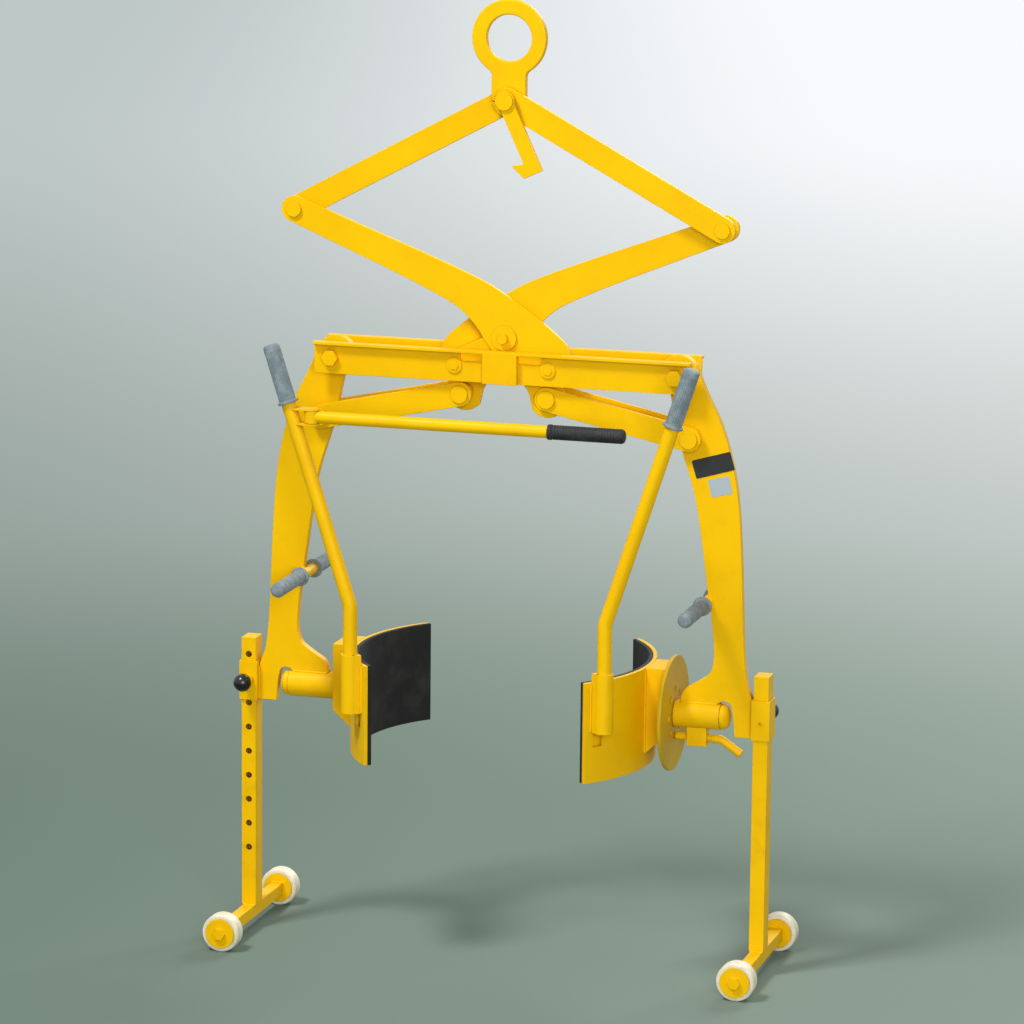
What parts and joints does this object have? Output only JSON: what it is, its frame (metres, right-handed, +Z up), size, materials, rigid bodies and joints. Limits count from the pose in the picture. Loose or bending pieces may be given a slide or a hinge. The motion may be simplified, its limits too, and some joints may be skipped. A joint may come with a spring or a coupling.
{
  "type": "drum lifter",
  "caption": "Scissor drum lifter with a lifting eye, a self-tightening linkage, trunnion-mounted curved shoes that tilt the drum, and height-adjustable roller legs.",
  "frame": {"origin": "centre of the lifting eye's bore", "axes": "+X along the crossbeam towards the side with the index disc, +Y to the rear along the eye's bore, +Z up"},
  "size_m": [1.1316, 0.4172, 1.9015],
  "materials": {
    "yellow_paint": "glossy yellow paint",
    "steel": "bare steel",
    "bronze": "plain bronze",
    "grey_grip": "ribbed blue-grey rubber",
    "black_grip": "black rubber",
    "rubber_pad": "matte black rubber",
    "black_knob": "black moulded plastic",
    "nylon": "cream nylon"
  },
  "bodies": {
    "eye": {"lifting_eye": "yellow_paint", "eye_pin": "yellow_paint"},
    "upper_link_left": {"upper_link_left": "yellow_paint", "outer_pin_left": "yellow_paint"},
    "upper_link_right": {"upper_link_right": "yellow_paint", "outer_pin_right": "yellow_paint"},
    "scissor_arm_left": {"scissor_arm_left": "yellow_paint"},
    "scissor_arm_right": {"scissor_arm_right": "yellow_paint"},
    "crossbeam": {"beam_angle_front": "yellow_paint", "beam_angle_rear": "yellow_paint", "hanger_plate": "yellow_paint", "centre_pivot_bolt": "yellow_paint", "tie_bolts": "yellow_paint", "arm_pivot_bolts": "yellow_paint", "arm_pivot_spacers": "steel"},
    "side_arm_left": {"side_arm_left": "yellow_paint", "bearing_housing_left": "yellow_paint", "trunnion_bush_left": "bronze", "leg_sleeve_left": "yellow_paint", "handlebar_left": "yellow_paint", "handlebar_grips_left": "grey_grip"},
    "side_arm_right": {"side_arm_right": "yellow_paint", "bearing_housing_right": "yellow_paint", "trunnion_bush_right": "bronze", "leg_sleeve_right": "yellow_paint", "handlebar_right": "yellow_paint", "handlebar_grips_right": "grey_grip", "index_guide": "yellow_paint"},
    "lower_link_left": {"lower_link_left": "yellow_paint", "lower_link_pins_left": "yellow_paint"},
    "lower_link_right": {"lower_link_right": "yellow_paint", "lower_link_pins_right": "yellow_paint"},
    "shoe_left": {"shoe_plate_left": "yellow_paint", "shoe_pad_left": "rubber_pad", "trunnion_left": "yellow_paint", "trunnion_nut_left": "yellow_paint", "lever_left": "yellow_paint", "lever_grip_left": "grey_grip", "tilt_hinge": "yellow_paint"},
    "shoe_right": {"shoe_plate_right": "yellow_paint", "shoe_pad_right": "rubber_pad", "trunnion_right": "yellow_paint", "trunnion_nut_right": "yellow_paint", "lever_right": "yellow_paint", "lever_grip_right": "grey_grip", "index_disc": "yellow_paint"},
    "tilt_bar": {"tilt_bar": "yellow_paint", "tilt_bar_grip": "black_grip"},
    "latch_hook": {"latch_hook": "yellow_paint"},
    "index_plunger": {"index_plunger": "yellow_paint"},
    "leg_left": {"leg_left": "yellow_paint", "foot_bar_left": "yellow_paint"},
    "leg_right": {"leg_right": "yellow_paint", "foot_bar_right": "yellow_paint"},
    "leg_plunger_left": {"leg_plunger_left": "black_knob"},
    "leg_plunger_right": {"leg_plunger_right": "black_knob"},
    "roller_left_front": {"roller_left_front": "nylon"},
    "roller_left_rear": {"roller_left_rear": "nylon"},
    "roller_right_front": {"roller_right_front": "nylon"},
    "roller_right_rear": {"roller_right_rear": "nylon"}
  },
  "joints": [
    {"name": "lift", "type": "hinge", "parent": "eye", "child": "upper_link_left", "pos_m": [0, 0, -0.119], "axis": [0, 1, 0], "range_deg": [0, 21.5]},
    {"name": "upper_link_right_swing", "type": "hinge", "parent": "eye", "child": "upper_link_right", "pos_m": [0, 0, -0.119], "axis": [0, 1, 0], "range_deg": [-21.51, 0]},
    {"name": "scissor_left_swing", "type": "hinge", "parent": "upper_link_left", "child": "scissor_arm_left", "pos_m": [-0.43272, 0, -0.35102], "axis": [0, 1, 0], "range_deg": [-43.01, 0]},
    {"name": "scissor_right_swing", "type": "hinge", "parent": "upper_link_right", "child": "scissor_arm_right", "pos_m": [0.43272, 0, -0.35102], "axis": [0, 1, 0], "range_deg": [0, 43.01]},
    {"name": "crossbeam_level", "type": "hinge", "parent": "scissor_arm_left", "child": "crossbeam", "pos_m": [0, 0, -0.58305], "axis": [0, 1, 0], "range_deg": [0, 21.51]},
    {"name": "side_arm_left_swing", "type": "hinge", "parent": "crossbeam", "child": "side_arm_left", "pos_m": [-0.349, 0, -0.63804], "axis": [0, 1, 0], "range_deg": [0, 14.37]},
    {"name": "side_arm_right_swing", "type": "hinge", "parent": "crossbeam", "child": "side_arm_right", "pos_m": [0.349, 0, -0.63804], "axis": [0, 1, 0], "range_deg": [-14.37, 0]},
    {"name": "lower_link_left_swing", "type": "hinge", "parent": "side_arm_left", "child": "lower_link_left", "pos_m": [-0.375, 0, -0.76004], "axis": [0, 1, 0], "range_deg": [-20.33, 0]},
    {"name": "lower_link_right_swing", "type": "hinge", "parent": "side_arm_right", "child": "lower_link_right", "pos_m": [0.375, 0, -0.76004], "axis": [0, 1, 0], "range_deg": [0, 20.33]},
    {"name": "latch_hook_swing", "type": "hinge", "parent": "eye", "child": "latch_hook", "pos_m": [0, 0, -0.119], "axis": [0, -1, 0], "range_deg": [-35, 30]},
    {"name": "shoe_right_turn", "type": "hinge", "parent": "side_arm_right", "child": "shoe_right", "pos_m": [0, 0, -1.31004], "axis": [1, 0, 0], "range_deg": [0, 180]},
    {"name": "shoe_left_turn", "type": "hinge", "parent": "side_arm_left", "child": "shoe_left", "pos_m": [0, 0, -1.31004], "axis": [1, 0, 0], "range_deg": [0, 180.01]},
    {"name": "tilt_bar_fold", "type": "hinge", "parent": "shoe_left", "child": "tilt_bar", "pos_m": [-0.337, -0.19, -0.73005], "axis": [0, 0, -1], "range_deg": [0, 95]},
    {"name": "index_plunger_slide", "type": "slide", "parent": "side_arm_right", "child": "index_plunger", "axis": [1, 0, 0], "range_m": [-0.0075, 0]},
    {"name": "leg_left_slide", "type": "slide", "parent": "side_arm_left", "child": "leg_left", "axis": [0, 0, 1], "range_m": [-0.05, 0.35]},
    {"name": "leg_right_slide", "type": "slide", "parent": "side_arm_right", "child": "leg_right", "axis": [0, 0, 1], "range_m": [-0.05, 0.35]},
    {"name": "leg_plunger_left_slide", "type": "slide", "parent": "side_arm_left", "child": "leg_plunger_left", "axis": [0, -1, 0], "range_m": [-0.009, 0]},
    {"name": "leg_plunger_right_slide", "type": "slide", "parent": "side_arm_right", "child": "leg_plunger_right", "axis": [0, 1, 0], "range_m": [-0.009, 0]},
    {"name": "roller_left_front_spin", "type": "hinge", "parent": "leg_left", "child": "roller_left_front", "pos_m": [-0.5278, -0.176, -1.78855], "axis": [0, 1, 0], "continuous": true},
    {"name": "roller_left_rear_spin", "type": "hinge", "parent": "leg_left", "child": "roller_left_rear", "pos_m": [-0.5278, 0.176, -1.78855], "axis": [0, 1, 0], "continuous": true},
    {"name": "roller_right_front_spin", "type": "hinge", "parent": "leg_right", "child": "roller_right_front", "pos_m": [0.5278, -0.176, -1.78855], "axis": [0, 1, 0], "continuous": true},
    {"name": "roller_right_rear_spin", "type": "hinge", "parent": "leg_right", "child": "roller_right_rear", "pos_m": [0.5278, 0.176, -1.78855], "axis": [0, 1, 0], "continuous": true}
  ],
  "couplings": [
    {"joint": "upper_link_right_swing", "follows": "lift", "ratio": -1},
    {"joint": "scissor_left_swing", "follows": "lift", "ratio": -2},
    {"joint": "scissor_right_swing", "follows": "lift", "ratio": 2},
    {"joint": "crossbeam_level", "follows": "lift", "ratio": 1},
    {"joint": "side_arm_left_swing", "follows": "lift", "ratio": 0.668},
    {"joint": "side_arm_right_swing", "follows": "lift", "ratio": -0.668},
    {"joint": "lower_link_left_swing", "follows": "lift", "ratio": -0.945},
    {"joint": "lower_link_right_swing", "follows": "lift", "ratio": 0.945},
    {"joint": "shoe_left_turn", "follows": "shoe_right_turn", "ratio": 1}
  ]
}
